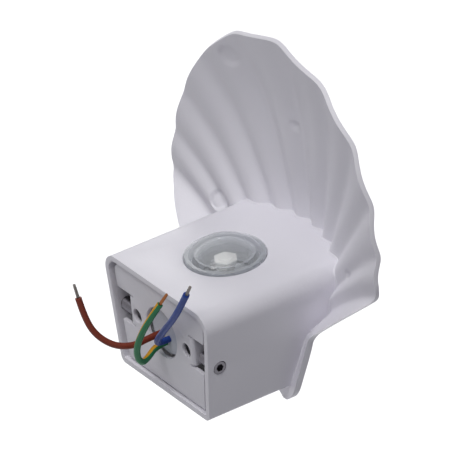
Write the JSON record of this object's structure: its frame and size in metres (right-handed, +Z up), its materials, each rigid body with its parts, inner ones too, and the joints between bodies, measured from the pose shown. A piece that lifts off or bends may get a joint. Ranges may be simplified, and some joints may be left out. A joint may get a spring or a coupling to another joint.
{
  "type": "outdoor wall light",
  "caption": "Outdoor up-light with a fluted scallop-shell front, a box housing with a dome lens in its top, a wall bracket held by set screws, and free supply leads at the back.",
  "frame": {"origin": "midway between the two wall-screw holes, on the wall side of the bracket plate", "axes": "+Y into the wall, -Y out of the light's front, +Z up, +X to the right seen from the front"},
  "size_m": [0.123, 0.0911, 0.1217],
  "materials": {
    "white_enamel": "satin powder coat",
    "bracket_enamel": "satin powder coat",
    "clear_acrylic": "clear polished acrylic",
    "seal_rubber": "matt",
    "steel": "zinc plated",
    "aluminium": "bare",
    "board_white": "white solder mask",
    "board_green": "green solder mask",
    "emitter": "silicone dome",
    "case_plastic": "moulded",
    "coil": "taped winding",
    "capacitor_sleeve": "shrunk sleeve",
    "tin": "tinned strands",
    "copper": "bare copper strands",
    "brown_pvc": "lead insulation",
    "blue_pvc": "lead insulation",
    "earth_pvc": "green and yellow lead insulation",
    "red_pvc": "lead insulation"
  },
  "bodies": {
    "bracket": {"mounting_bracket": "bracket_enamel", "brown_lead": "brown_pvc", "brown_strands": "tin", "blue_lead": "blue_pvc", "blue_strands": "tin", "earth_lead": "earth_pvc", "earth_strands": "copper"},
    "lamp": {"shell": "white_enamel", "housing": "white_enamel", "shell_screws": "steel", "lens": "clear_acrylic", "lens_gasket": "seal_rubber", "lens_retainer": "case_plastic", "led_board": "board_white", "led_emitter": "emitter", "led_board_screws": "steel", "led_carrier": "aluminium", "led_carrier_screws": "steel", "driver_case": "case_plastic", "driver_lid": "case_plastic", "driver_board": "board_green", "transformer": "coil", "capacitor": "capacitor_sleeve", "driver_screws": "steel", "led_leads": "red_pvc", "inner_supply_leads": "brown_pvc", "inner_earth_lead": "earth_pvc", "earth_terminal": "tin", "earth_screw": "steel", "inner_cover": "case_plastic", "cover_gasket": "seal_rubber", "cover_screws": "steel", "cable_grommet": "seal_rubber"},
    "left_set_screw": {"left_set_screw": "steel"},
    "right_set_screw": {"right_set_screw": "steel"}
  },
  "joints": [
    {"name": "lamp_lift_off", "type": "slide", "parent": "bracket", "child": "lamp", "axis": [0, -1, 0], "range_m": [0, 0.014]},
    {"name": "left_screw_back_out", "type": "slide", "parent": "lamp", "child": "left_set_screw", "axis": [1, 0, 0], "range_m": [0, 0.005]},
    {"name": "right_screw_back_out", "type": "slide", "parent": "lamp", "child": "right_set_screw", "axis": [-1, 0, 0], "range_m": [0, 0.005]}
  ]
}
